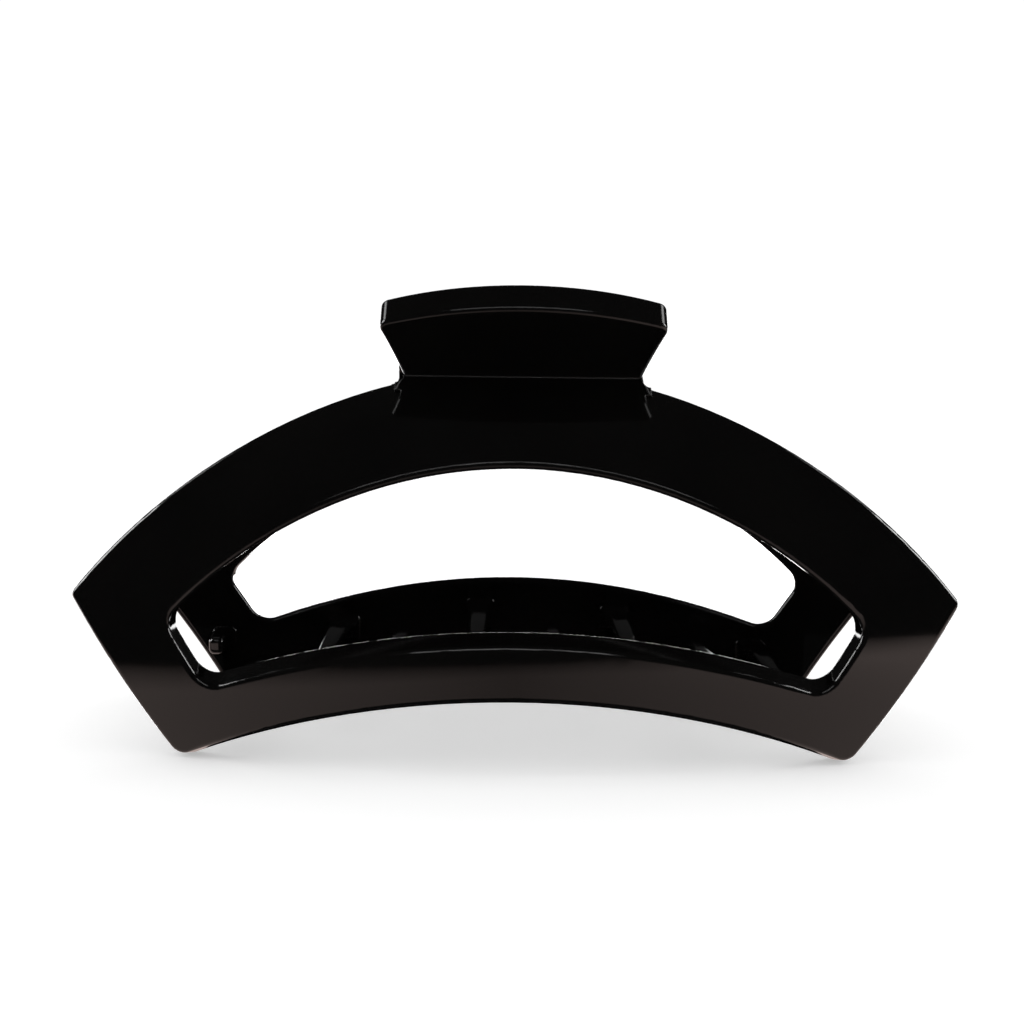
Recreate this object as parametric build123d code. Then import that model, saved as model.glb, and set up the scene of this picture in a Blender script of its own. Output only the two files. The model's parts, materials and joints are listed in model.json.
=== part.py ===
from build123d import *
import math
import os

# Open-frame claw clip for hair: two identical moulded jaws, a hinge pin and a torsion spring.
# Millimetres. X runs along the clip, +Z is up and the front jaw is on the -Y side.
# The shapes are drawn about the hinge axis (y = 0, z = 0) and lifted on to the floor at the end.

# Jaw shell: an arc in section, swept round a wide vertical bow
shell_depth = 29.05          # front of the shell to the middle plane
shell_radius = 44.0          # outer radius of the section
shell_mid_z = -38.8          # height where the outer face is upright
bow_radius = 216.0           # radius of the bow seen from above
bow_angle = 44.0             # swept angle of the blank, trimmed by the outline
blank_reach = 60.0           # larger than the jaw's depth and height
wall = 3.8
mid_gap = 0.5                # least distance from the shell to the middle plane
edge_round = 0.7

# Jaw outline, seen from the front
jaw_width = 128.6
crest_z = 1.7                # top of the ellipse that draws the upper edge
crest_half_axis = 91.6       # ellipse half axis along X
crest_rise = 114.5           # ellipse half axis along Z
foot_half_width = 48.5       # the side lines pass through this point at the foot
side_foot_z = -54.3
foot_edge_crest_z = -43.75   # crest of the lower edge where it meets the outer face
foot_edge_radius = 156.4
foot_edge_slope = 17.0       # degrees that the underside falls towards the inside
outline_low_z = -60.0        # the outline ends here, below the sloped underside
shoulder_round = 1.2
foot_round = 2.2

# Window through each jaw
window_top_z = -12.5
window_top_radius = 67.6
window_low_z = -35.05        # crest of the lower edge where the cut meets the pivot plane
window_low_radius = 112.0
window_cut_pivot_y = -26.5
window_cut_slope = 28.0      # degrees that the lower cut rises towards the inside
window_side_x = 50.0         # the side line passes through this point of the outer face
window_side_y = -23.0
window_side_z = -34.1
window_side_lean = 33.6      # degrees from upright
window_side_taper = 6.0      # degrees that the window narrows towards the inside
window_round = 3.0
window_cut_end_y = -12.0     # the cut stops here, well inside the shell

# Finger handle
handle_offset = 0.7          # the handle stands this far off the middle of the jaw
crease_y = -5.8
crease_z = 0.6
handle_root_lean = 30.0      # degrees from upright where the handle leaves the jaw
handle_tip_lean = 49.0
handle_run = 7.8
handle_rise = 9.8
handle_root_wall = 4.0
handle_tip_wall = 5.2
handle_tip_half_width = 21.8
handle_neck_half_width = 18.1
handle_tip_drop = 3.4        # arch of the free edge
handle_corner_round = 1.5
handle_edge_round = 0.6
handle_round_start = 0.8     # the rounded edges start this far above the crease
handle_foot_outer = (-9.8, -3.0)            # (y, z) corners of the foot, inside the jaw's wall
handle_foot_inner = (-3.7, -2.4)
handle_foot_reach = 6.0      # the handle's sides run on past the crease, into the jaw
neck_round = 1.2             # concave corner between a side of the handle and the jaw

# Hinge
pin_radius = 1.0
pin_clearance = 0.06
pin_head_radius = 1.75
pin_head_height = 0.9
pin_head_round = 0.6
ear_radius = 3.0
hinge_bay_radius = 3.3       # the jaws keep this far from the hinge axis, apart from their ears
inner_ear = (6.0, 9.0)
outer_ear = (-12.3, -9.3)
gusset_low = (-6.9, -5.0)    # (y, z) corners of an ear's gusset, inside the jaw's wall
gusset_outer = (-6.4, -2.4)
gusset_top = (-4.2, 1.6)
end_play = 0.1
stop_ribs = ((-17.0, -14.2), (14.2, 17.0))
stop_gap = 0.1
stop_end_top_z = -3.6
stop_end_low_z = -6.0
stop_root_low = (-12.6, -9.0)               # (y, z) corners of the root, inside the jaw's wall
stop_root_top = (-5.5, -2.0)

# Torsion spring
wire_radius = 0.45
coil_radius = 1.95
coil_pitch = 0.96
coil_whole_turns = 11        # less the angle between the two legs
leg_length = 9.2
leg_lean = 42.2              # degrees from upright, the lean of the handle's inner face

# Teeth
tooth_pitch = 23.7
tooth_steps = (-1.75, -0.75, 0.25, 1.25)    # in pitches from the middle
tooth_root_width = 5.0
tooth_tip_width = 2.4
tooth_top_z = -38.4          # ridge of a tooth in the middle of the jaw
tooth_arch_radius = 139.0    # the ridges follow the arch of the window's inner edge
tooth_root_height = 4.7
tooth_tip_y = 6.0
tooth_tip_height = 2.8
tooth_droop = 0.5
tooth_ridge_bulge = 0.1      # the ridge's middle is this far above its root
tooth_belly_rise = 0.5       # the underside's middle is this far above its root
tooth_round = 0.9
tooth_sink = 2.0             # the root starts this far inside the shell's outer face
end_tooth_x = 50.2           # a shorter tooth in the corner above one foot
end_tooth_tip_y = -12.0
end_tooth_top_z = -43.3
end_tooth_root_height = 4.4
end_tooth_root_width = 4.2

section_centre_y = shell_radius - shell_depth
bow_axis = Axis((0, bow_radius - shell_depth, 0), (0, 0, 1))


def inwards(lean):
    """Unit (y, z) pair that points to the inside of a plate leaning this many degrees from upright."""
    return math.cos(math.radians(lean)), math.sin(math.radians(lean))


def x_cylinder(radius, x_start, x_end):
    """A cylinder on the hinge axis between two places along X."""
    return extrude(Plane.YZ.offset(x_start) * Circle(radius), x_end - x_start)


def jaw_outline():
    """Front view of the jaw without its handle, run on below its feet."""
    start = math.degrees(math.acos(jaw_width / 2 / crest_half_axis))
    crest_centre = (0, crest_z - crest_rise)
    top = EllipticalCenterArc(crest_centre, crest_half_axis, crest_rise, start, arc_size=180 - 2 * start)
    shoulder = top @ 0
    lean = (shoulder.X - foot_half_width) / (shoulder.Y - side_foot_z)
    low_x = shoulder.X - lean * (shoulder.Y - outline_low_z)
    left = Line(top @ 1, (-low_x, outline_low_z))
    low = Line((-low_x, outline_low_z), (low_x, outline_low_z))
    right = Line((low_x, outline_low_z), shoulder)
    face = make_face([top, left, low, right])
    tips = face.vertices().sort_by(Axis.X)
    return fillet([tips[0], tips[-1]], shoulder_round)


def trim_block():
    """The space that the jaw's outline takes up; its underside falls towards the inside."""
    slope = math.radians(foot_edge_slope)
    cut_plane = Plane(
        origin=(0, -shell_depth, foot_edge_crest_z),
        x_dir=(1, 0, 0),
        z_dir=(0, -math.cos(slope), math.sin(slope)),
    )
    under_disc = cut_plane * Pos(0, -foot_edge_radius) * Circle(foot_edge_radius)
    block = extrude(Plane.XZ * jaw_outline(), blank_reach) - extrude(under_disc, blank_reach, both=True)
    lengthwise = [e for e in block.edges() if abs((e @ 0).Y - (e @ 1).Y) > blank_reach / 2]
    corners = ShapeList(lengthwise).sort_by(Axis.Z)[:2]
    return fillet(corners, foot_round)


def shell_band():
    """The bowed wall, trimmed to the jaw's outline."""
    ring = Circle(shell_radius) - Circle(shell_radius - wall)
    ring = Pos(section_centre_y, shell_mid_z) * ring
    front_centre = Pos(-blank_reach / 2 - mid_gap, -blank_reach / 2 + crest_z)
    front = front_centre * Rectangle(blank_reach, blank_reach)
    section = Plane.YZ * (ring & front)
    blank = revolve(section, bow_axis, bow_angle).rotate(bow_axis, -bow_angle / 2)
    return blank & trim_block()


def window_cutter():
    """The space of the window: its top is cut straight back and its lower edge on a slope."""
    top_disc = Plane.XZ * Pos(0, window_top_z - window_top_radius) * Circle(window_top_radius)
    top = extrude(top_disc, blank_reach)
    slope = math.radians(window_cut_slope)
    cut_plane = Plane(
        origin=(0, window_cut_pivot_y, window_low_z),
        x_dir=(1, 0, 0),
        z_dir=(0, -math.cos(slope), -math.sin(slope)),
    )
    low_disc = cut_plane * Pos(0, -window_low_radius) * Circle(window_low_radius)
    low = extrude(low_disc, blank_reach, both=True)
    lean = math.radians(window_side_lean)
    spread = (blank_reach + window_side_y) * math.tan(math.radians(window_side_taper)) / math.cos(lean)
    low_x = window_side_x + spread - (blank_reach + window_side_z) * math.tan(lean)
    high_x = window_side_x + spread - window_side_z * math.tan(lean)
    corners = [(-low_x, -blank_reach), (low_x, -blank_reach), (high_x, 0), (-high_x, 0)]
    trapezoid = Plane.XZ.offset(blank_reach) * make_face(Polyline(*corners, close=True))
    depth = blank_reach + window_cut_end_y
    sides = extrude(trapezoid, -depth, taper=window_side_taper)
    cutter = (sides & top) - low
    lengthwise = [e for e in cutter.edges() if abs((e @ 0).Y - (e @ 1).Y) > depth / 2]
    return fillet(lengthwise, window_round)


def handle_section():
    """Side view of the handle: it flares outwards, and its foot reaches into the jaw."""
    crease = (crease_y, crease_z)
    tip = (crease_y - handle_run, crease_z + handle_rise)
    tip_in = inwards(handle_tip_lean)
    root_in = inwards(handle_root_lean)
    tip_top = (tip[0] + handle_tip_wall * tip_in[0], tip[1] + handle_tip_wall * tip_in[1])
    root_top = (crease[0] + handle_root_wall * root_in[0], crease[1] + handle_root_wall * root_in[1])
    outer = flare(crease, tip)
    inner = flare(root_top, tip_top)
    end = Line(tip, tip_top)
    foot = Polyline(root_top, (-hinge_bay_radius, 0), handle_foot_inner, handle_foot_outer, crease)
    return make_face([outer, end, inner, foot])


def flare(start, end):
    """An arc whose lean from upright grows from the root's to the tip's."""
    turn = math.radians(handle_tip_lean - handle_root_lean)
    run, rise = start[0] - end[0], end[1] - start[1]
    chord = math.hypot(run, rise)
    bulge = chord / 2 * math.tan(turn / 4)
    middle_y = (start[0] + end[0]) / 2 + bulge * rise / chord
    middle_z = (start[1] + end[1]) / 2 + bulge * run / chord
    return ThreePointArc(start, (middle_y, middle_z), end)


def crest_height(x):
    """Height of the jaw's upper edge at x."""
    return crest_z - crest_rise * (1 - math.sqrt(1 - (x / crest_half_axis) ** 2))


def neck_filler(side_x, direction):
    """Front view of the web that rounds one concave corner beside the handle's neck."""
    corner_z = crest_height(side_x)
    block = Pos(side_x, corner_z) * Rectangle(2 * neck_round, 2 * neck_round)
    hollow = Pos(side_x + direction * neck_round, corner_z + neck_round) * Circle(neck_round)
    return block - hollow


def handle():
    """One finger handle with an arched free edge."""
    half_length = 2 * handle_tip_half_width
    plate = extrude(Plane.YZ * handle_section(), half_length, both=True)
    tip_y = crease_y - handle_run
    tip_z = crease_z + handle_rise
    normal = inwards(handle_tip_lean)
    face_plane = Plane(
        origin=(handle_offset, tip_y, tip_z),
        x_dir=(1, 0, 0),
        z_dir=(0, -normal[0], -normal[1]),
    )
    neck_v = -math.hypot(handle_run, handle_rise)
    foot_v = neck_v - handle_foot_reach
    tip_corner = (handle_tip_half_width, -handle_tip_drop)
    neck_corner = (handle_neck_half_width, neck_v)
    foot_corner = (handle_neck_half_width, foot_v)
    right = [tip_corner, neck_corner, foot_corner]
    left = [(-x, v) for x, v in reversed(right)]
    rim = ThreePointArc(left[-1], (0, 0), right[0])
    outline = make_face([rim, Polyline(*right, *left)])
    outline = fillet(outline.vertices().sort_by(Axis.Y)[-2:], handle_corner_round)
    blade = plate & extrude(face_plane * outline, blank_reach, both=True)
    free_edges = [e for e in blade.edges() if e.center().Z > crease_z + handle_round_start]
    blade = fillet(free_edges, handle_edge_round)
    for direction in (-1, 1):
        side_x = handle_offset + direction * handle_neck_half_width
        web = extrude(Plane.XZ * neck_filler(side_x, direction), blank_reach)
        blade = blade + (plate & web)
    return blade


def ear(span):
    """A hinge ear: a round eye on a gusset that joins the shell below the neck."""
    eye = x_cylinder(ear_radius, *span)
    corners = [(0, -ear_radius), gusset_low, gusset_outer, gusset_top, (0, gusset_top[1])]
    gusset = make_face(Polyline(*corners, close=True))
    web = extrude(Plane.YZ.offset(span[0]) * gusset, span[1] - span[0])
    return eye + web


def stop_rib(span):
    """A rib under the neck whose flat end meets the other jaw's when the clip is closed."""
    end_top = (-stop_gap, stop_end_top_z)
    end_low = (-stop_gap, stop_end_low_z)
    outline = make_face(Polyline(end_top, end_low, stop_root_low, stop_root_top, close=True))
    return extrude(Plane.YZ.offset(span[0]) * outline, span[1] - span[0])


def tooth(x, ridge, root_height, root_width, tip_y):
    """A tapered tine from the lower bar's inner face towards the other jaw."""
    root_y = tooth_sink - shell_depth + x**2 / (2 * bow_radius)
    tip_top = ridge - tooth_droop
    tip_low = tip_top - tooth_tip_height * root_height / tooth_root_height
    root_low = ridge - root_height
    middle_y = (root_y + tip_y) / 2
    ridge_line = ThreePointArc((root_y, ridge), (middle_y, ridge + tooth_ridge_bulge), (tip_y, tip_top))
    tip_line = Line((tip_y, tip_top), (tip_y, tip_low))
    belly_middle = (middle_y, root_low + tooth_belly_rise)
    belly_line = ThreePointArc((tip_y, tip_low), belly_middle, (root_y, root_low))
    root_line = Line((root_y, root_low), (root_y, ridge))
    profile = make_face([ridge_line, tip_line, belly_line, root_line])
    blade = extrude(Plane.YZ.offset(x) * profile, root_width, both=True)
    root_half = root_width / 2
    tip_half = tooth_tip_width / 2
    plan = Polyline(
        (x - root_half, root_y),
        (x + root_half, root_y),
        (x + tip_half, tip_y),
        (x - tip_half, tip_y),
        close=True,
    )
    blade = blade & extrude(make_face(plan), blank_reach, both=True)
    free_edges = [e for e in blade.edges() if e.center().Y > root_y + tooth_sink / 2]
    return fillet(free_edges, tooth_round)


def comb():
    """The jaw's five teeth; the last and shortest sits in the corner above a foot."""
    teeth = []
    for step in tooth_steps:
        x = step * tooth_pitch
        ridge = tooth_top_z - tooth_arch_radius + math.sqrt(tooth_arch_radius**2 - x**2)
        teeth.append(tooth(x, ridge, tooth_root_height, tooth_root_width, tooth_tip_y))
    end_size = (end_tooth_root_height, end_tooth_root_width)
    teeth.append(tooth(end_tooth_x, end_tooth_top_z, *end_size, end_tooth_tip_y))
    return teeth


def jaw():
    """The front moulding, complete: band, handle, ears, stop ribs and teeth."""
    band = shell_band() - window_cutter()
    band = fillet(band.edges(), edge_round)
    body = band + handle()
    body = body - x_cylinder(hinge_bay_radius, -jaw_width, jaw_width)
    for span in (inner_ear, outer_ear):
        body = body + ear(span)
    for span in stop_ribs:
        body = body + stop_rib(span)
    for tine in comb():
        body = body + tine
    return body - x_cylinder(pin_radius + pin_clearance, -jaw_width, jaw_width)


def hinge_pin():
    """A plain rod with a domed head outside each outer ear."""
    reach = end_play - outer_ear[0]
    head = x_cylinder(pin_head_radius, reach, reach + pin_head_height)
    head = fillet(head.edges().sort_by(Axis.X)[-1], pin_head_round)
    return x_cylinder(pin_radius, -reach, reach) + head + head.rotate(Axis.Z, 180)


def torsion_spring():
    """A close coil round the pin; each straight leg rests on one handle's inner face."""
    turns = coil_whole_turns - (180 - 2 * leg_lean) / 360
    length = turns * coil_pitch
    coil = Helix(coil_pitch, length, coil_radius, center=(-length / 2, 0, 0), direction=(1, 0, 0))
    coil = coil.rotate(Axis.X, 90 - leg_lean)
    wire_section = Plane(coil @ 0, z_dir=coil % 0) * Circle(wire_radius)
    wire = sweep(wire_section, path=coil, is_frenet=True)
    front_leg = extrude(Plane(coil @ 1, z_dir=coil % 1) * Circle(wire_radius), leg_length)
    rear_leg = front_leg.rotate(Axis.Z, 180)
    return wire + front_leg + rear_leg


def main():
    """Builds every node, stands the clip on its feet and writes one STEP each."""
    front_jaw = jaw()
    lift = Pos(0, 0, -front_jaw.bounding_box().min.Z)
    nodes = {
        "front_jaw": front_jaw,
        "rear_jaw": front_jaw.rotate(Axis.Z, 180),
        "hinge_pin": hinge_pin(),
        "torsion_spring": torsion_spring(),
    }
    os.makedirs("parts", exist_ok=True)
    for name, shape in nodes.items():
        export_step(lift * shape, f"parts/{name}.step")


if __name__ == "__main__":
    main()
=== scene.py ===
"""Looks for an open-frame claw hair clip: black moulded jaws, a steel pin and a spring-wire coil."""
import json
import math

import bmesh
import bpy
from mathutils import Matrix, Vector


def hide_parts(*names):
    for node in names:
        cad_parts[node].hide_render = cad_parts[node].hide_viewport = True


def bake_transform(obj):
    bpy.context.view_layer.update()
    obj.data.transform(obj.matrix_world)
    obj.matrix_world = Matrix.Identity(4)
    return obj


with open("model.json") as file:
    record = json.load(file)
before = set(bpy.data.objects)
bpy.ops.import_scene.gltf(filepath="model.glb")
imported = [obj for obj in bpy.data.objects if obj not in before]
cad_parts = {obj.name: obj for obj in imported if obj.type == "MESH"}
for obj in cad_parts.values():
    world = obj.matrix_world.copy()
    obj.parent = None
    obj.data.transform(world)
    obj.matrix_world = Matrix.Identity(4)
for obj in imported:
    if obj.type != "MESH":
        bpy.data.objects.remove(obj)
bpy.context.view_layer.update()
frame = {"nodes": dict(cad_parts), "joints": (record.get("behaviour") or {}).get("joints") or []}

MM = 0.001

# ---------------------------------------------------------------------------------- places
hinge = next(j for j in frame["joints"] if j["name"] == "jaw_hinge")
HINGE = Vector(hinge["pos_m"])

# ------------------------------------------------------------------------------------ camera
CAMERA_FROM_HINGE = Vector((-1.74, -205.0, 0.02)) * MM
CAMERA_PITCH = 5.73          # degrees down
CAMERA_ROLL = 0.75           # degrees
CAMERA_YAW = -0.30           # degrees
CAMERA_LENS = 45.98          # mm
CAMERA_SENSOR = 36.0         # mm
CAMERA_NEAR = 0.01           # metres
CAMERA_FAR = 50.0            # metres


def add_camera():
    """A camera at hinge height, looking slightly down on the front jaw."""
    data = bpy.data.cameras.new("camera")
    data.lens = CAMERA_LENS
    data.sensor_width = CAMERA_SENSOR
    data.clip_start = CAMERA_NEAR
    data.clip_end = CAMERA_FAR
    camera = bpy.data.objects.new("camera", data)
    bpy.context.scene.collection.objects.link(camera)
    turn = (
        Matrix.Rotation(math.radians(CAMERA_YAW), 4, "Z")
        @ Matrix.Rotation(math.radians(90 - CAMERA_PITCH), 4, "X")
        @ Matrix.Rotation(math.radians(CAMERA_ROLL), 4, "Z")
    )
    camera.matrix_world = Matrix.Translation(HINGE + CAMERA_FROM_HINGE) @ turn
    bpy.context.scene.camera = camera


# ------------------------------------------------------------------------------------ materials
# Noise scales are in waves per millimetre; a span is the part of the noise's range that shows.
PLASTIC_IOR = 1.5
PLASTIC_DARK = (0.0013, 0.0012, 0.0012)
PLASTIC_PALE = (0.0024, 0.0022, 0.0021)
PLASTIC_RUBBED = (0.009, 0.008, 0.008)
EVEN_SPAN = (0.3, 0.7)
FLOW_SCALE = 0.05
RUB_SCALE = 0.6
RUB_SPAN = (0.45, 0.7)
RUB_WIDTH = 0.5 * MM         # width of the rubbed band along the sharp edges
RUB_ROUGHNESS = 0.08         # added where an edge is rubbed
EDGE_COSINES = (0.995, 0.90)  # between the true and the rounded normal: smooth face, sharp edge
EDGE_SAMPLES = 4
HAZE_SCALE = 0.12
HAZE_SPAN = (0.35, 0.75)
HAZE_ROUGHNESS = (0.06, 0.12)
HAIRLINE_SPAN = (0.66, 0.72)
HAIRLINE_STRETCH = (0.15, 3.0, 3.0)
HAIRLINE_ROUGHNESS = 0.05    # added along a hairline
RIPPLE_SCALE = 0.09
GRAIN_SCALE = 2.2
GRAIN_SHARE = 0.03
RIPPLE_STRENGTH = 0.18
RIPPLE_DEPTH = 0.10 * MM
CORNER_ROUND = 0.3 * MM      # radius that softens the moulded corners
CORNER_SAMPLES = 6

SPRING_STEEL = (0.62, 0.62, 0.63)
SPRING_ROUGHNESS = 0.16
PIN_STEEL = (0.56, 0.56, 0.57)
PIN_ROUGHNESS = 0.22
PIN_LINES = (0.1, 3, 3)      # stretched along the pin
STEEL_DARK = 0.82            # darker patches, as a share of the tint
STEEL_UNEVEN = 0.15          # roughness added by the drawn lines
STEEL_TONE_SCALE = 0.8
STEEL_LINE_SCALE = 3.0
STEEL_LINE_STRENGTH = 0.2
STEEL_LINE_DEPTH = 0.01 * MM


def new_material(name):
    """An empty node material and its principled shader."""
    material = bpy.data.materials.new(name)
    material.use_nodes = True
    tree = material.node_tree
    shader = next(n for n in tree.nodes if n.type == "BSDF_PRINCIPLED")
    return material, tree, shader


def noise(tree, scale, detail=4.0, roughness=0.5, stretch=(1, 1, 1)):
    """Noise in the object's own coordinates; scale is in waves per millimetre."""
    place = tree.nodes.new("ShaderNodeTexCoord")
    mapping = tree.nodes.new("ShaderNodeMapping")
    mapping.inputs["Scale"].default_value = [s / MM for s in stretch]
    texture = tree.nodes.new("ShaderNodeTexNoise")
    texture.inputs["Scale"].default_value = scale
    texture.inputs["Detail"].default_value = detail
    texture.inputs["Roughness"].default_value = roughness
    tree.links.new(place.outputs["Object"], mapping.inputs["Vector"])
    tree.links.new(mapping.outputs["Vector"], texture.inputs["Vector"])
    return texture.outputs["Fac"]


def remap(tree, value, low, high, to_low, to_high):
    """A clamped linear remap."""
    node = tree.nodes.new("ShaderNodeMapRange")
    node.clamp = True
    node.inputs["From Min"].default_value = low
    node.inputs["From Max"].default_value = high
    node.inputs["To Min"].default_value = to_low
    node.inputs["To Max"].default_value = to_high
    tree.links.new(value, node.inputs["Value"])
    return node.outputs["Result"]


def mix_colour(tree, factor, first, second):
    """first where factor is 0, second where it is 1."""
    node = tree.nodes.new("ShaderNodeMix")
    node.data_type = "RGBA"
    tree.links.new(factor, node.inputs["Factor"])
    for socket, colour in ((node.inputs[6], first), (node.inputs[7], second)):
        if isinstance(colour, tuple):
            socket.default_value = (*colour, 1.0)
        else:
            tree.links.new(colour, socket)
    return node.outputs[2]


def maths(tree, operation, first, second):
    """One math node; its inputs are sockets or numbers."""
    node = tree.nodes.new("ShaderNodeMath")
    node.operation = operation
    for socket, value in zip(node.inputs, (first, second)):
        if isinstance(value, (int, float)):
            socket.default_value = value
        else:
            tree.links.new(value, socket)
    return node.outputs[0]


def edge_mask(tree, radius):
    """Near 1 on sharp outer edges and 0 on smooth faces."""
    bevel = tree.nodes.new("ShaderNodeBevel")
    bevel.samples = EDGE_SAMPLES
    bevel.inputs["Radius"].default_value = radius
    geometry = tree.nodes.new("ShaderNodeNewGeometry")
    dot = tree.nodes.new("ShaderNodeVectorMath")
    dot.operation = "DOT_PRODUCT"
    tree.links.new(bevel.outputs["Normal"], dot.inputs[0])
    tree.links.new(geometry.outputs["Normal"], dot.inputs[1])
    return remap(tree, dot.outputs["Value"], *EDGE_COSINES, 0.0, 1.0)


def add_bump(tree, shader, height, strength, distance, round_radius=0.0):
    """A bump from a height socket, over softened corners; distances are in metres."""
    bump = tree.nodes.new("ShaderNodeBump")
    if round_radius:
        soft = tree.nodes.new("ShaderNodeBevel")
        soft.samples = CORNER_SAMPLES
        soft.inputs["Radius"].default_value = round_radius
        tree.links.new(soft.outputs["Normal"], bump.inputs["Normal"])
    bump.inputs["Strength"].default_value = strength
    bump.inputs["Distance"].default_value = distance
    tree.links.new(height, bump.inputs["Height"])
    tree.links.new(bump.outputs["Normal"], shader.inputs["Normal"])


def gloss_black_plastic():
    """Polished black moulding: faint flow marks, handling haze, fine hairlines and rubbed edges."""
    material, tree, shader = new_material("gloss_black_plastic")
    shader.inputs["IOR"].default_value = PLASTIC_IOR
    tone = remap(tree, noise(tree, FLOW_SCALE, 3.0), *EVEN_SPAN, 0.0, 1.0)
    colour = mix_colour(tree, tone, PLASTIC_DARK, PLASTIC_PALE)
    patches = remap(tree, noise(tree, RUB_SCALE), *RUB_SPAN, 0.0, 1.0)
    worn = maths(tree, "MULTIPLY", edge_mask(tree, RUB_WIDTH), patches)
    colour = mix_colour(tree, worn, colour, PLASTIC_RUBBED)
    tree.links.new(colour, shader.inputs["Base Color"])
    haze = remap(tree, noise(tree, HAZE_SCALE, 5.0, 0.6), *HAZE_SPAN, *HAZE_ROUGHNESS)
    scratches = noise(tree, 1.0, 2.0, 0.5, HAIRLINE_STRETCH)
    hairlines = remap(tree, scratches, *HAIRLINE_SPAN, 0.0, HAIRLINE_ROUGHNESS)
    polish = maths(tree, "ADD", haze, hairlines)
    roughness = maths(tree, "ADD", polish, maths(tree, "MULTIPLY", worn, RUB_ROUGHNESS))
    tree.links.new(roughness, shader.inputs["Roughness"])
    grain = maths(tree, "MULTIPLY", noise(tree, GRAIN_SCALE, 3.0), GRAIN_SHARE)
    ripple = maths(tree, "ADD", noise(tree, RIPPLE_SCALE, 2.0), grain)
    add_bump(tree, shader, ripple, RIPPLE_STRENGTH, RIPPLE_DEPTH, CORNER_ROUND)
    return material


def steel(name, tint, base_roughness, wave):
    """Drawn steel: fine lines along the draw direction and a slightly uneven tone."""
    material, tree, shader = new_material(name)
    shader.inputs["Metallic"].default_value = 1.0
    tone = remap(tree, noise(tree, STEEL_TONE_SCALE, 4.0), *EVEN_SPAN, 0.0, 1.0)
    dark = tuple(STEEL_DARK * c for c in tint)
    tree.links.new(mix_colour(tree, tone, dark, tint), shader.inputs["Base Color"])
    lines = noise(tree, STEEL_LINE_SCALE, 3.0, 0.6, wave)
    roughness = remap(tree, lines, *EVEN_SPAN, base_roughness, base_roughness + STEEL_UNEVEN)
    tree.links.new(roughness, shader.inputs["Roughness"])
    add_bump(tree, shader, lines, STEEL_LINE_STRENGTH, STEEL_LINE_DEPTH)
    return material


# ------------------------------------------------------------------------------------ spring
WIRE = 0.45 * MM             # radius of the wire
WIRE_END_ROUND = 0.12 * MM
COIL_RADIUS = 1.95 * MM      # to the middle of the wire
COIL_PITCH = 0.96 * MM
COIL_WHOLE_TURNS = 11
LEG_LEAN = math.radians(42.2)
LEG_LENGTH = 9.2 * MM
STEPS_PER_TURN = 48
LEG_STEPS = 12
WIRE_SIDES = 20


def spring_path():
    """Centre line of the wire: rear leg, coil from rear to front end, front leg."""
    turns = COIL_WHOLE_TURNS - (math.pi - 2 * LEG_LEAN) / (2 * math.pi)
    half = turns * COIL_PITCH / 2
    first = math.pi - LEG_LEAN
    steps = round(turns * STEPS_PER_TURN)
    coil = []
    for i in range(steps + 1):
        share = i / steps
        angle = first + share * turns * 2 * math.pi
        ring = Vector((0, math.cos(angle), math.sin(angle))) * COIL_RADIUS
        coil.append(HINGE + ring + Vector((-half + 2 * half * share, 0, 0)))
    slope = Vector((COIL_PITCH / (2 * math.pi * COIL_RADIUS), -math.sin(LEG_LEAN), math.cos(LEG_LEAN)))
    front = slope.normalized() * LEG_LENGTH
    rear = Vector((-front.x, -front.y, front.z))
    front_leg = [coil[-1] + front * (i / LEG_STEPS) for i in range(1, LEG_STEPS + 1)]
    rear_leg = [coil[0] + rear * (i / LEG_STEPS) for i in range(LEG_STEPS, 0, -1)]
    return rear_leg + coil + front_leg


def tube(name, points, radius, sides, end_round):
    """A round tube along points, with chamfered ends, as one closed mesh."""
    mesh = bmesh.new()
    across = None
    rings = []
    count = len(points)
    for i, point in enumerate(points):
        tangent = (points[min(i + 1, count - 1)] - points[max(i - 1, 0)]).normalized()
        if across is None:
            across = tangent.orthogonal().normalized()
        across = (across - tangent * across.dot(tangent)).normalized()
        rings.append((point, tangent, across.copy(), tangent.cross(across)))

    def add_ring(point, normal, side, size):
        ring = []
        for k in range(sides):
            angle = 2 * math.pi * k / sides
            ring.append(mesh.verts.new(point + (normal * math.cos(angle) + side * math.sin(angle)) * size))
        return ring

    start_point, start_tangent, start_normal, start_side = rings[0]
    last_point, last_tangent, last_normal, last_side = rings[-1]
    loops = [add_ring(start_point, start_normal, start_side, radius - end_round)]
    loops.append(add_ring(start_point + start_tangent * end_round, start_normal, start_side, radius))
    for point, tangent, normal, side in rings[1:-1]:
        loops.append(add_ring(point, normal, side, radius))
    loops.append(add_ring(last_point - last_tangent * end_round, last_normal, last_side, radius))
    loops.append(add_ring(last_point, last_normal, last_side, radius - end_round))
    for lower, upper in zip(loops, loops[1:]):
        for k in range(sides):
            after = (k + 1) % sides
            mesh.faces.new((lower[k], lower[after], upper[after], upper[k]))
    mesh.faces.new(list(reversed(loops[0])))
    mesh.faces.new(loops[-1])
    bmesh.ops.recalc_face_normals(mesh, faces=mesh.faces)
    data = bpy.data.meshes.new(name)
    mesh.to_mesh(data)
    mesh.free()
    for polygon in data.polygons:
        polygon.use_smooth = len(polygon.vertices) == 4
    piece = bpy.data.objects.new(name, data)
    bpy.context.scene.collection.objects.link(piece)
    return piece


def add_spring():
    """The torsion spring, twisting from the rear jaw to the front jaw."""
    piece = tube("torsion_spring_wire", spring_path(), WIRE, WIRE_SIDES, WIRE_END_ROUND)
    piece.data.materials.append(steel("spring_steel", SPRING_STEEL, SPRING_ROUGHNESS, (1, 1, 1)))
    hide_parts("torsion_spring")
    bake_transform(piece)


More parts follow.
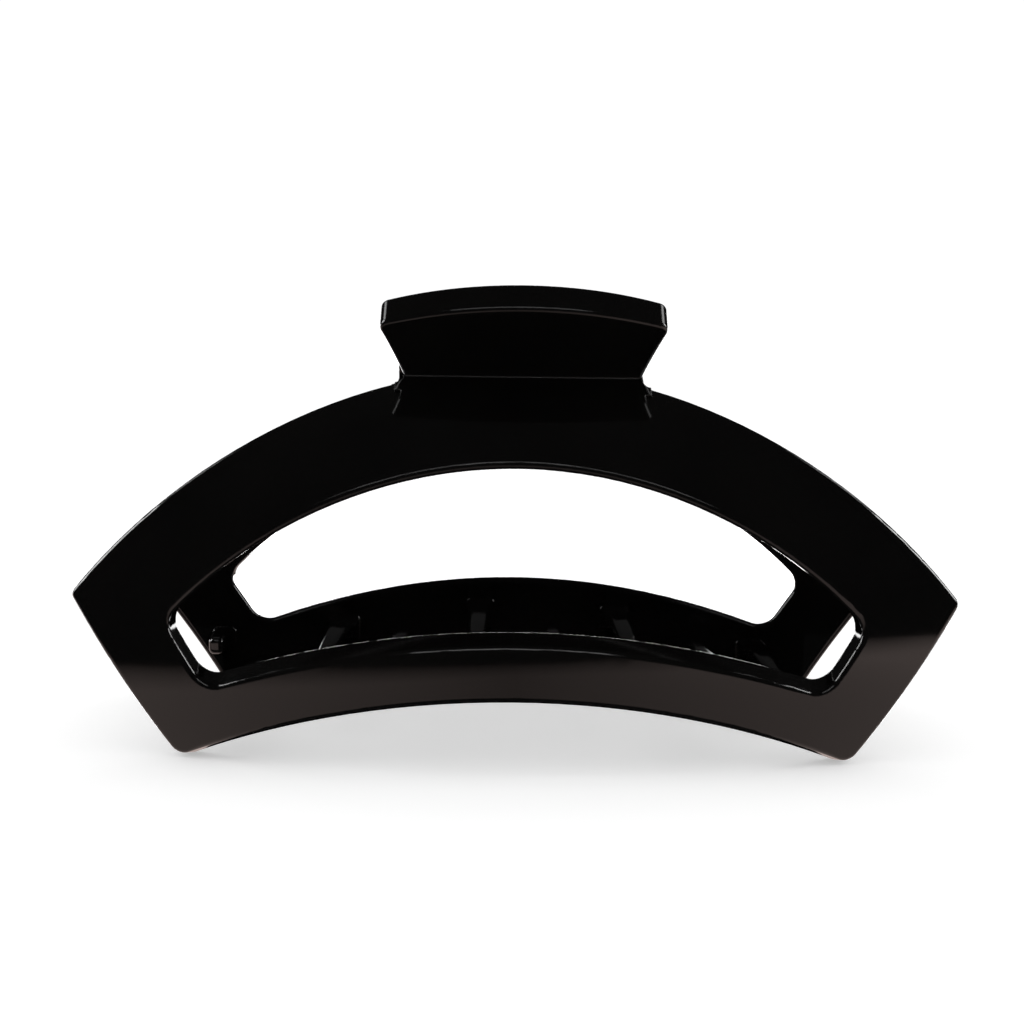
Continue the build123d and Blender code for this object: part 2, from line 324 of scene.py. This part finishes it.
# ------------------------------------------------------------------------------------ studio
# Lengths are in metres and powers in watts.
FLOOR_REACH = 3.0
FLOOR_GLOW = 0.42            # the table is lit from inside, which keeps the shadows pale
FLOOR_ROUGHNESS = 0.9
FLOOR_DARK = (0.86, 0.86, 0.86)
FLOOR_PALE = (0.88, 0.88, 0.88)
FLOOR_SCALE = 0.002

# The table card glows and only reflections show it: a painted reflection of the lit table. Its weaker
# middle and its near edge, drawn back in the middle, are painted shade of the table next to the clip.
CARD_STATIONS = (-0.147, -0.050, -0.033, 0.0, 0.033, 0.050, 0.32)
CARD_NEAR = (0.010, 0.010, 0.030, 0.046, 0.030, 0.010, 0.010)
CARD_FAR = 0.113             # far edge in the middle; it runs askew, nearer on the left
CARD_SKEW = 0.62
CARD_FADE = 0.035            # length of the fade at the far edge, in the middle and on the left
CARD_SIDE_FADE = 0.8         # on the right the fade is longer, by this share of the extra reach
CARD_RAMP = 0.11             # distance from the middle at which the card is at full strength
CARD_MIDDLE_GLOW = 0.36
CARD_END_GLOW = 1.05
CARD_TINT = (1.0, 0.81, 0.75)
CARD_DEPTH = 0.1 * MM        # below the table's top

# Black sheets between the jaws that only reflections show: painted shade of the table under the clip.
SHADE_SHEET_HALF_LENGTH = 0.05
SHADE_SHEET_DEPTH = 0.017
SHADE_SHEET_HEIGHT = 0.0125

STUDIO_WHITE = 1.05
ROOM_GLOW = 0.022
STRIP_GLOW = 6.0
STRIP_BACK = (0.2, 0.5)      # the strip's limits, as parts of a unit direction from the clip
STRIP_TOP = (0.05, 0.10)
STRIP_FOOT = (-0.45, -0.35)

WASH_POWER = 2.4
WASH_ANGLE = 140             # degrees

SIDE_BOX = {"x": 0.75, "y": -0.05, "z": 0.40, "aim": 0.04, "width": 0.30, "height": 0.45, "power": 5.0}
OVERHEAD = {"x": 0.62, "y": 0.24, "z": 0.72, "aim": 0.05, "width": 0.22, "height": 0.25, "power": 0.6}
FRONT_BOX = {"x": 0.0, "y": -0.62, "z": 0.62, "aim": 0.05, "width": 0.5, "height": 0.12, "power": 0.5}


def add_sheet(name, quads, z, material):
    """Flat quads at one height that belong to the studio."""
    points = [(x, y, z) for quad in quads for x, y in quad]
    faces = [tuple(range(4 * i, 4 * i + 4)) for i in range(len(quads))]
    mesh = bpy.data.meshes.new(name)
    mesh.from_pydata(points, [], faces)
    mesh.materials.append(material)
    sheet = bpy.data.objects.new(name, mesh)
    bpy.context.scene.collection.objects.link(sheet)
    return sheet


def only_reflected(sheet):
    """Hides a sheet from everything but glossy reflections."""
    sheet.visible_camera = False
    sheet.visible_diffuse = False
    sheet.visible_shadow = False
    sheet.visible_transmission = False


def add_painted_shade_sheets():
    """Black sheets under the lower bars that only reflections show: painted shade, so that no inner face
    mirrors the lit table beyond.
    """
    material, tree, shader = new_material("painted_shade_black")
    shader.inputs["Base Color"].default_value = (0, 0, 0, 1)
    shader.inputs["Specular IOR Level"].default_value = 0.0
    for side in (-1, 1):
        y = side * SHADE_SHEET_DEPTH
        reach = SHADE_SHEET_HALF_LENGTH
        corners = [(-reach, y, 0), (reach, y, 0), (reach, y, SHADE_SHEET_HEIGHT), (-reach, y, SHADE_SHEET_HEIGHT)]
        mesh = bpy.data.meshes.new("shade_sheet")
        mesh.from_pydata(corners, [], [(0, 1, 2, 3)])
        mesh.materials.append(material)
        shade_sheet = bpy.data.objects.new("shade_sheet", mesh)
        bpy.context.scene.collection.objects.link(shade_sheet)
        only_reflected(shade_sheet)


def card_quads():
    """Plan of the glowing card that paints the lit table into the gloss, in front and behind; where its
    near edge is drawn back, the gloss shows painted shade.
    """
    edges = []
    for x, near in zip(CARD_STATIONS, CARD_NEAR):
        edges.append((x, min(-CARD_FAR - CARD_SKEW * x, -near), -near))
    quads = []
    for (x, far, near), (next_x, next_far, next_near) in zip(edges, edges[1:]):
        front = [(x, far), (next_x, next_far), (next_x, next_near), (x, near)]
        quads.append(front)
        quads.append([(-px, -py) for px, py in front])
    return quads


def card_material():
    """Warm light, weaker in the middle of the card, which is painted shade, and fading out towards its far
    edge.
    """
    material, tree, shader = new_material("table_card")
    tree.nodes.remove(shader)
    place = tree.nodes.new("ShaderNodeTexCoord")
    split = tree.nodes.new("ShaderNodeSeparateXYZ")
    tree.links.new(place.outputs["Object"], split.inputs[0])
    x, y = split.outputs["X"], split.outputs["Y"]
    beside = remap(tree, maths(tree, "ABSOLUTE", x, 0.0), 0.0, CARD_RAMP, CARD_MIDDLE_GLOW, CARD_END_GLOW)
    skew = maths(tree, "MULTIPLY", maths(tree, "MULTIPLY", x, maths(tree, "SIGN", y, 0.0)), -CARD_SKEW)
    inside = maths(tree, "SUBTRACT", maths(tree, "ADD", skew, CARD_FAR), maths(tree, "ABSOLUTE", y, 0.0))
    longer = maths(tree, "MULTIPLY", maths(tree, "MAXIMUM", skew, 0.0), CARD_SIDE_FADE)
    fade = maths(tree, "ADD", longer, CARD_FADE)
    edge = remap(tree, maths(tree, "DIVIDE", inside, fade), 0.0, 1.0, 0.0, 1.0)
    light = tree.nodes.new("ShaderNodeEmission")
    light.inputs["Color"].default_value = (*CARD_TINT, 1.0)
    strength = maths(tree, "MULTIPLY", beside, edge)
    tree.links.new(strength, light.inputs["Strength"])
    output = next(n for n in tree.nodes if n.type == "OUTPUT_MATERIAL")
    tree.links.new(light.outputs[0], output.inputs["Surface"])
    return material


def add_floor():
    """A plain white lit table, and a glowing card that reflections show in its place: a painted reflection
    of the table.
    """
    material, tree, shader = new_material("table_white")
    shader.inputs["Roughness"].default_value = FLOOR_ROUGHNESS
    shader.inputs["Specular IOR Level"].default_value = 0.0
    shader.inputs["Emission Color"].default_value = (1, 1, 1, 1)
    shader.inputs["Emission Strength"].default_value = FLOOR_GLOW
    tone = remap(tree, noise(tree, FLOOR_SCALE, 3.0), *EVEN_SPAN, 0.0, 1.0)
    tree.links.new(mix_colour(tree, tone, FLOOR_DARK, FLOOR_PALE), shader.inputs["Base Color"])
    reach = FLOOR_REACH
    square = [(-reach, -reach), (reach, -reach), (reach, reach), (-reach, reach)]
    floor = add_sheet("table", [square], 0.0, material)
    floor.visible_glossy = False
    card = add_sheet("table_card", card_quads(), -CARD_DEPTH, card_material())
    only_reflected(card)


def add_area(name, box, side=1):
    """A soft rectangular light that only glossy surfaces show, turned to the clip's middle."""
    data = bpy.data.lights.new(name, "AREA")
    data.shape = "RECTANGLE"
    data.size = box["width"]
    data.size_y = box["height"]
    data.energy = box["power"]
    lamp = bpy.data.objects.new(name, data)
    bpy.context.scene.collection.objects.link(lamp)
    lamp.location = (side * box["x"], box["y"], box["z"])
    direction = Vector((0, 0, box["aim"])) - lamp.location
    lamp.rotation_mode = "QUATERNION"
    lamp.rotation_quaternion = direction.to_track_quat("-Z", "Y")
    lamp.visible_diffuse = False
    lamp.visible_camera = False


def add_wash():
    """Even light from overhead that keeps the floor white; no reflection shows it."""
    data = bpy.data.lights.new("overhead_wash", "SUN")
    data.energy = WASH_POWER
    data.angle = math.radians(WASH_ANGLE)
    lamp = bpy.data.objects.new("overhead_wash", data)
    bpy.context.scene.collection.objects.link(lamp)
    lamp.visible_glossy = False


def add_world():
    """White round the set for the eye; for reflections a dark studio with a white strip low behind."""
    world = bpy.data.worlds.new("studio")
    bpy.context.scene.world = world
    world.use_nodes = True
    tree = world.node_tree
    tree.nodes.clear()
    output = tree.nodes.new("ShaderNodeOutputWorld")
    white = tree.nodes.new("ShaderNodeBackground")
    white.inputs["Color"].default_value = (1, 1, 1, 1)
    white.inputs["Strength"].default_value = STUDIO_WHITE
    room = tree.nodes.new("ShaderNodeBackground")
    place = tree.nodes.new("ShaderNodeTexCoord")
    split = tree.nodes.new("ShaderNodeSeparateXYZ")
    tree.links.new(place.outputs["Generated"], split.inputs[0])
    back = remap(tree, split.outputs["Y"], *STRIP_BACK, 0.0, 1.0)
    below = remap(tree, split.outputs["Z"], *STRIP_TOP, 1.0, 0.0)
    above = remap(tree, split.outputs["Z"], *STRIP_FOOT, 0.0, 1.0)
    strip = maths(tree, "MULTIPLY", maths(tree, "MULTIPLY", below, above), back)
    room.inputs["Color"].default_value = (1, 1, 1, 1)
    glow = maths(tree, "ADD", maths(tree, "MULTIPLY", strip, STRIP_GLOW), ROOM_GLOW)
    tree.links.new(glow, room.inputs["Strength"])
    path = tree.nodes.new("ShaderNodeLightPath")
    choose = tree.nodes.new("ShaderNodeMixShader")
    tree.links.new(path.outputs["Is Camera Ray"], choose.inputs[0])
    tree.links.new(room.outputs[0], choose.inputs[1])
    tree.links.new(white.outputs[0], choose.inputs[2])
    tree.links.new(choose.outputs[0], output.inputs["Surface"])


def add_lights():
    """An even wash, soft boxes at both sides and overhead, and a small one over the camera."""
    add_wash()
    for side in (-1, 1):
        add_area(f"side_box_{side}", SIDE_BOX, side)
        add_area(f"overhead_strip_{side}", OVERHEAD, side)
    add_area("front_box", FRONT_BOX)


add_camera()
jaw_look = gloss_black_plastic()
for name in ("front_jaw", "rear_jaw"):
    node = frame["nodes"][name]
    node.data.materials.clear()
    node.data.materials.append(jaw_look)
pin = frame["nodes"]["hinge_pin"]
pin.data.materials.clear()
pin.data.materials.append(steel("pin_steel", PIN_STEEL, PIN_ROUGHNESS, PIN_LINES))
add_spring()
add_floor()
add_painted_shade_sheets()
add_world()
add_lights()

view = bpy.context.scene.view_settings
view.view_transform = "Standard"
view.look = "None"
